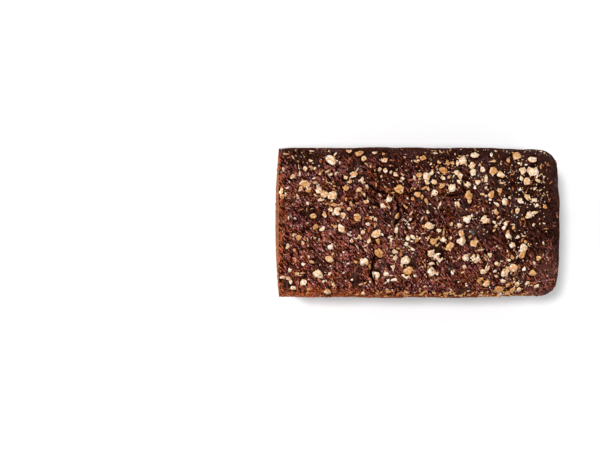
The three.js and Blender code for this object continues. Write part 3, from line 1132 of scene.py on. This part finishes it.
def whole_flake(top, bed, radius, draw):
    """Rule for one rolled oat: an uneven round with a crease or a toasted heart, bent like a saddle."""
    small = radius < 2
    long = lerp(1.0, 1.5 if small else 1.25, draw() ** 1.5)
    bend = lerp(-0.5, 0.5, draw()) / radius
    turn = Matrix.Rotation(draw() * math.pi, 4, "Z")
    thick = lerp(0.7, 1.1, draw())
    bite = draw() * 2 * math.pi
    bite_depth = lerp(0.0, 0.5, draw() ** 2)
    seed = far_place(draw)
    lift = lerp(0.3, 0.65, draw())
    creased = draw() < 0.6

    def shape(co):
        span = math.hypot(co.x, co.y)
        angle = math.atan2(co.y, co.x)
        way = Vector((math.cos(angle), math.sin(angle), 0))
        uneven = 1 + 0.3 * noise.noise(way * 1.1 + seed)
        uneven += (0.6 if small else 0.35) * noise.noise(way * 2.2 + seed)
        away = math.acos(math.cos(angle - bite))
        uneven *= 1 - bite_depth * math.exp(-((away / 0.35) ** 2)) * span
        x, y = co.x * uneven * radius * long, co.y * uneven * radius / long
        crease = math.exp(-((y / (0.2 * radius)) ** 2)) * (1 - 0.7 * span)
        wave = 0.45 * noise.noise(Vector((x, y, 0)) / 1.1 + seed)
        z = bend * (x * x - y * y) * 0.3 + lift + wave - 0.35 * crease
        if co.z < -0.5:
            z -= thick
        heart = (1 - span**2) * lerp(0.35, 1, crease) if creased else 1 - span
        place = bed @ turn @ Vector((x, y, z))
        under = top.height(place.x, place.y)
        if under and co.z > -0.5 and span < 0.9:
            place.z = max(place.z, under + 0.25 * (1 - span))
        place.x = max(place.x, OAT_CUT_X)
        return place * MM, heart

    return shape


def broken_flake(bed, radius, draw):
    """Rule for a chip of oat: a crooked shard, tipped one way."""
    long = lerp(1.0, 1.9, draw())
    turn = Matrix.Rotation(draw() * 2 * math.pi, 4, "Z")
    tip = Matrix.Rotation(lerp(-0.7, 0.7, draw() ** 1.5), 4, "X")
    thick = lerp(0.35, 0.7, draw())
    seed = far_place(draw)

    def shape(co):
        angle = math.atan2(co.y, co.x)
        uneven = 1 + 0.7 * noise.noise(Vector((math.cos(angle) * 2, math.sin(angle) * 2, 0)) + seed)
        x, y = co.x * uneven * radius * long, co.y * uneven * radius / long
        z = 0.3 if co.z > -0.5 else 0.3 - thick
        place = bed @ turn @ tip @ Vector((x, y, z))
        place.x = max(place.x, OAT_CUT_X)
        return place * MM, 0.3

    return shape


def strand(lie, half, wide, thick, bend, lift):
    """Rule for a thing that lies along the crust, bent."""

    def shape(co):
        along = co.x * half
        place = Vector((along, co.y * wide + bend * along * along, co.z * thick + lift))
        return (lie @ place) * MM, 0.5

    return shape


class RYE_OT_flakes(bpy.types.Operator):
    """Bakes the whole oat flakes onto the top crust"""

    bl_idname = "rye.flakes"
    bl_label = "Oat Flakes"

    def execute(self, context):
        settings, loaf, draw = begin(context, "flake shapes")
        oats = settings.oats
        top = Top()
        scatter = Scatter(flake_stamp(9), flake_stamp(13))
        for i, (x, y, radius) in enumerate(oat_places(loaf, oats)):
            bed = top.bed(x, y, radius)
            if bed:
                bake = draw() ** lerp(lerp(2.4, 0.6, smooth(y, -25, 15)), 1.7, smooth(x, -50, 60))
                if i < len(MAIN_FLAKES):
                    bake = MAIN_FLAKES[i][3]
                scatter.stamp(radius > 2, whole_flake(top, bed, radius, draw), bake)
        scatter.finish("oat_flakes", oat_material(oats), "oats")
        return {"FINISHED"}


class RYE_OT_shards(bpy.types.Operator):
    """Strews broken oats and their dust over the top crust"""

    bl_idname = "rye.shards"
    bl_label = "Oat Shards"

    def execute(self, context):
        settings, loaf, draw = begin(context, "shard shapes")
        top = Top()
        scatter = Scatter(shard_stamp(5), shard_stamp(6))
        places = seeded_draws(SEEDS["shard places"])
        shards = strew(loaf, settings.oats.shards, (0.35, 1.6), places, bare=(0.5, 0.35))
        specks = clear_places(loaf, settings.oats.dust, draw, end_margin=OAT_MARGIN["round"] - 2)
        specks = [(x, y) for x, y in specks if draw() < oat_share(x, y, (0.12, 0.35))]
        shoulder = 1.2 - loaf.width / 2
        near = [
            (lerp(-30, 88, draw()), shoulder + 4.5 * draw(), lerp(0.6, 1.7, draw()))
            for _ in range(NEAR_CHIPS)
        ]
        dust = [(x, y, lerp(0.25, 0.6, draw() ** 1.5)) for x, y in specks]
        for x, y, radius in near + shards + dust:
            bed = top.bed(x, y, radius)
            if bed and x > OAT_CUT_X + radius:
                bake = lerp(0.8 if y < shoulder + 6 else 0.1, 1.1, draw())
                scatter.stamp(int(draw() * 2), broken_flake(bed, radius, draw), bake)
        scatter.finish("oat_shards", bpy.data.materials["rolled_oats"], "oats")
        return {"FINISHED"}


class RYE_OT_bran(bpy.types.Operator):
    """Lays slivers of husk and brown grains into the dough"""

    bl_idname = "rye.bran"
    bl_label = "Bran"

    def execute(self, context):
        settings, loaf, draw = begin(context, "bran")
        top = Top()
        scatter = Scatter(ball_stamp(2), sliver_stamp(4))
        slivers = clear_places(loaf, settings.oats.bran, draw)
        grains = clear_places(loaf, settings.oats.grains, draw, oat_places(loaf, settings.oats))
        for i, (x, y) in enumerate(slivers + grains):
            thin = i < len(slivers)
            half = lerp(0.8, 2.8, draw() ** 2) if thin else lerp(1.3, 2.3, draw())
            wide = lerp(0.2, 0.5, draw()) if thin else half * lerp(0.35, 0.5, draw())
            thick = 0.16 if thin else 0.5
            bend = lerp(-0.25, 0.25, draw()) / half
            bed = top.bed(x, y, half * 0.6)
            turn = grain_turn(x, y, draw, 2.6)
            if bed:
                scatter.stamp(thin, strand(bed @ turn, half, wide, thick, bend, 0.12), draw())
        scatter.finish("bran_slivers", bran_material(settings.crust), "crust")
        return {"FINISHED"}


class Dough(Scatter):
    """Many pieces of torn dough in one mesh, with what the crust's material reads."""

    def __init__(self, loaf, *stamps):
        super().__init__(*stamps)
        self.loaf = loaf
        self.values = {label: [] for label in ("relief", "warm", "edge_lit", "torn", "dark", "top")}

    def tear(self, which, x, y, tone, shape):
        """Adds one piece, paler or darker by its tone, with painted light: paler on top than below."""
        spot = Vector((x, y, self.loaf.height))
        # Painted light along the cut and the near shoulder, as on the crust.
        edge_lit = float(edge_light_share(self.loaf, x, y))
        tone += 0.25 * (dough_tone(spot) + 0.5 * edge_lit)
        warmth = min(max(dough_warmth(spot) + 0.4 * edge_lit, 0), 1)
        # Painted shade towards the round end and the far side, and darker calm patches.
        same = {"warm": warmth, "edge_lit": edge_lit, "torn": torn_share(x, y), "dark": shade_and_calm_dark(x, y), "top": 1}

        def piece(co):
            # Painted light: paler on top of each piece than below.
            self.values["relief"].append(tone + 0.25 * co.z)
            for label, value in same.items():
                self.values[label].append(value)
            return shape(co)

        self.stamp(which, piece, 0.5)

    def finish(self, name, material, slot):
        for label, values in self.values.items():
            set_values(self.bm, label, values)
        super().finish(name, material, slot)


class RYE_OT_clods(bpy.types.Operator):
    """Roughens the crust with clods of torn dough, most of them lying aslant"""

    bl_idname = "rye.clods"
    bl_label = "Crust Clods"

    def execute(self, context):
        settings, loaf, draw = begin(context, "clods")
        top = Top()
        dough = Dough(loaf, ball_stamp(1), ball_stamp(2))
        for x, y in torn_places(loaf, settings.shape.clods, draw, oat_places(loaf, settings.oats)):
            radius = lerp(0.45, 1.5, draw() ** 2) * lerp(1, 0.75, smooth(x, 20, 80))
            size = Vector((lerp(1.0, 2.3, draw()), lerp(0.6, 1.0, draw()), lerp(0.4, 0.7, draw()))) * radius
            turn = grain_turn(x, y, draw, 0.7)
            seed = far_place(draw)
            tone = lerp(0.3, 0.6, draw())
            bed = top.bed(x, y, radius)
            if bed:

                def shape(co):
                    uneven = 1 + 0.7 * noise.noise(co * 1.3 + seed)
                    place = Vector((co.x * size.x, co.y * size.y, co.z * size.z)) * uneven
                    return (bed @ turn @ place) * MM, 0.5

                dough.tear(radius > 1, x, y, tone, shape)
        dough.finish("crust_clods", crust_material(settings.crust), "crust")
        return {"FINISHED"}


class RYE_OT_fibres(bpy.types.Operator):
    """Draws thin strands out of the dough, most of them lying aslant"""

    bl_idname = "rye.fibres"
    bl_label = "Dough Fibres"

    def execute(self, context):
        settings, loaf, draw = begin(context, "fibres")
        top = Top()
        dough = Dough(loaf, ball_stamp(1))
        for x, y in torn_places(loaf, settings.shape.fibres, draw, oat_places(loaf, settings.oats)):
            half = lerp(0.6, 2.6, draw() ** 1.6)
            wide = lerp(0.13, 0.34, draw())
            bend = lerp(-0.2, 0.2, draw()) / half
            lift = lerp(0.0, 0.35, draw())
            turn = grain_turn(x, y, draw, 0.6)
            tone = lerp(0.15, 0.84, draw())
            bed = top.bed(x, y, half * 0.5)
            if bed:
                dough.tear(0, x, y, tone, strand(bed @ turn, half, wide, wide, bend, lift))
        dough.finish("dough_fibres", crust_material(settings.crust), "crust")
        return {"FINISHED"}


class Face:
    """The finished cut face, felt from the left."""

    def __init__(self):
        self.tree = surface_of("loaf_crumb")

    def bed(self, y, z):
        """Matrix that lays a thing on the cut face, its own Z pointing out of it."""
        hits = []
        for dy, dz in ((0, 0), (1, 0), (-1, 0), (0, 1), (0, -1)):
            start = Vector((-0.3, (y + dy) * MM, (z + dz) * MM))
            hit = self.tree.ray_cast(start, Vector((1, 0, 0)))[0]
            if not hit:
                return None
            hits.append(hit.x / MM)
        return Matrix.Translation((min(hits), y, z)) @ KNIFE_TURN


class RYE_OT_seeds(bpy.types.Operator):
    """Sets cut sunflower kernels and rye grains into the crumb"""

    bl_idname = "rye.seeds"
    bl_label = "Seeds"

    def execute(self, context):
        settings, loaf, draw = begin(context, "cut seeds")
        face = Face()
        material = seed_material(settings.crumb)
        kinds = (
            ("sunflower_kernels", settings.crumb.kernels, (3.0, 4.6), (0.32, 0.5), 0.2),
            ("rye_grains", settings.crumb.grains, (1.1, 2.4), (0.45, 0.95), 0.9),
        )
        for name, count, halves, slimness, browning in kinds:
            scatter = Scatter(ball_stamp(2))
            for _ in range(count):
                y = lerp(7 - loaf.width / 2, loaf.width / 2 - 7, draw())
                z = lerp(7, loaf.height - 15, draw())
                half = lerp(*halves, draw())
                slim = lerp(*slimness, draw())
                turn = Matrix.Rotation(draw() * math.pi, 4, "Z")
                bed = face.bed(y, z)
                if bed:

                    def shape(co):
                        pear = 1 + 0.25 * co.x
                        span = math.hypot(co.x, co.y)
                        place = Vector((co.x * half, co.y * half * slim * pear, min(co.z, 0.3) * 0.5))
                        return (bed @ turn @ place) * MM, (1 - span) + max(co.z, 0)

                    scatter.stamp(0, shape, draw() * browning)
            scatter.finish(name, material, "seeds")
        return {"FINISHED"}


# ---------------------------------------------------------------------------------------------------
# Studio.


def add_light(name, kind, power, place, target=(0, 0, 0), **settings):
    light = bpy.data.lights.new(name, kind)
    light.energy = power
    for label, value in settings.items():
        setattr(light, label, value)
    lamp = add_object(name, light)
    lamp.location = place
    lamp.rotation_euler = (Vector(target) - Vector(place)).to_track_quat("-Z", "Y").to_euler()
    return lamp


class RYE_OT_studio(bpy.types.Operator):
    """Sets the plain floor, the soft lights and the camera over the loaf"""

    bl_idname = "rye.studio"
    bl_label = "Studio"

    def execute(self, context):
        scene = context.scene
        look = scene.rye_loaf.studio
        self.lay_floor(look)
        add_light("key", "SUN", look.key, KEY_FROM, angle=math.radians(7))
        add_light("second", "SUN", look.second, SECOND_FROM, angle=math.radians(3))
        sheet = {"shape": "RECTANGLE", "size": CARD_SIZE[0], "size_y": CARD_SIZE[1], "color": CARD_COLOUR}
        card = add_light("cut_end_card", "AREA", look.card, CARD_FROM, (0, 0, CARD_FROM[2]), **sheet)
        card.visible_camera = False
        self.surround(scene, look)
        scene.view_settings.view_transform = "Standard"
        self.set_camera(scene)
        return {"FINISHED"}

    def surround(self, scene, look):
        """A white surround. What the loaf takes from it is weaker, and it leaves no haze on moist dough."""
        world = bpy.data.worlds.new("studio")
        scene.world = world
        world.use_nodes = True
        nodes = Nodes(world.node_tree)
        background = world.node_tree.nodes["Background"].inputs
        seen = nodes.add("ShaderNodeLightPath").outputs["Is Camera Ray"]
        level = nodes.add("ShaderNodeMapRange", {"Value": seen, "To Min": look.fill, "To Max": 1.2})
        nodes.give(background["Color"], (1, 1, 1))
        nodes.give(background["Strength"], level.outputs[0])
        world.cycles_visibility.glossy = False

    def lay_floor(self, look):
        bm = bmesh.new()
        bmesh.ops.create_grid(bm, x_segments=1, y_segments=1, size=6)
        material, nodes, place = new_material("floor", Roughness=0.9, Specular_IOR_Level=0.1)
        nodes.feed("Base Color", add_mottle(nodes, place, 3.0, 0.1, look.floor, *FLOOR_TINTS))
        floor = add_object("floor", to_mesh("floor", bm))
        floor.data.materials.append(material)

    def set_camera(self, scene):
        """Looks straight down, with the loaf off to the right of the frame."""
        view = bpy.data.cameras.new("camera")
        view.sensor_width = SENSOR
        view.lens = SENSOR * CAMERA_RISE / (VIEW_SIZE[0] * PIXEL)
        view.clip_start = 0.05
        camera = add_object("camera", view)
        camera.location = (
            (VIEW_SIZE[0] / 2 - LOAF_MIDDLE_PIXEL[0]) * PIXEL + LOAF_MIDDLE_X,
            (LOAF_MIDDLE_PIXEL[1] - VIEW_SIZE[1] / 2) * PIXEL,
            CAMERA_RISE + WIDEST_HEIGHT,
        )
        scene.camera = camera


class RYE_PT_panel(bpy.types.Panel):
    """Lists the loaf's settings and the operators that make it"""

    bl_idname = "RYE_PT_panel"
    bl_label = "Rye Loaf"
    bl_space_type = "VIEW_3D"
    bl_region_type = "UI"
    bl_category = "Rye Loaf"

    def draw(self, context):
        settings = context.scene.rye_loaf
        for name in ("shape", "crust", "crumb", "oats", "studio"):
            group = getattr(settings, name)
            box = self.layout.box()
            box.label(text=name.title())
            for label in group.__annotations__:
                box.prop(group, label)
        for operator in OPERATORS:
            self.layout.operator(operator.bl_idname)


GROUPS = (LoafShape, CrustLook, CrumbLook, OatMix, StudioLook, RyeLoaf)
OPERATORS = (
    RYE_OT_crust,
    RYE_OT_crumb,
    RYE_OT_seeds,
    RYE_OT_clods,
    RYE_OT_fibres,
    RYE_OT_flakes,
    RYE_OT_shards,
    RYE_OT_bran,
    RYE_OT_studio,
)


def register():
    for made in (*GROUPS, *OPERATORS, RYE_PT_panel):
        bpy.utils.register_class(made)
    bpy.types.Scene.rye_loaf = PointerProperty(type=RyeLoaf)


def unregister():
    del bpy.types.Scene.rye_loaf
    for made in reversed((*GROUPS, *OPERATORS, RYE_PT_panel)):
        bpy.utils.unregister_class(made)


def main():
    register()
    for operator in OPERATORS:
        group, name = operator.bl_idname.split(".")
        getattr(getattr(bpy.ops, group), name)()
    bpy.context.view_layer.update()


if __name__ == "__main__":
    main()
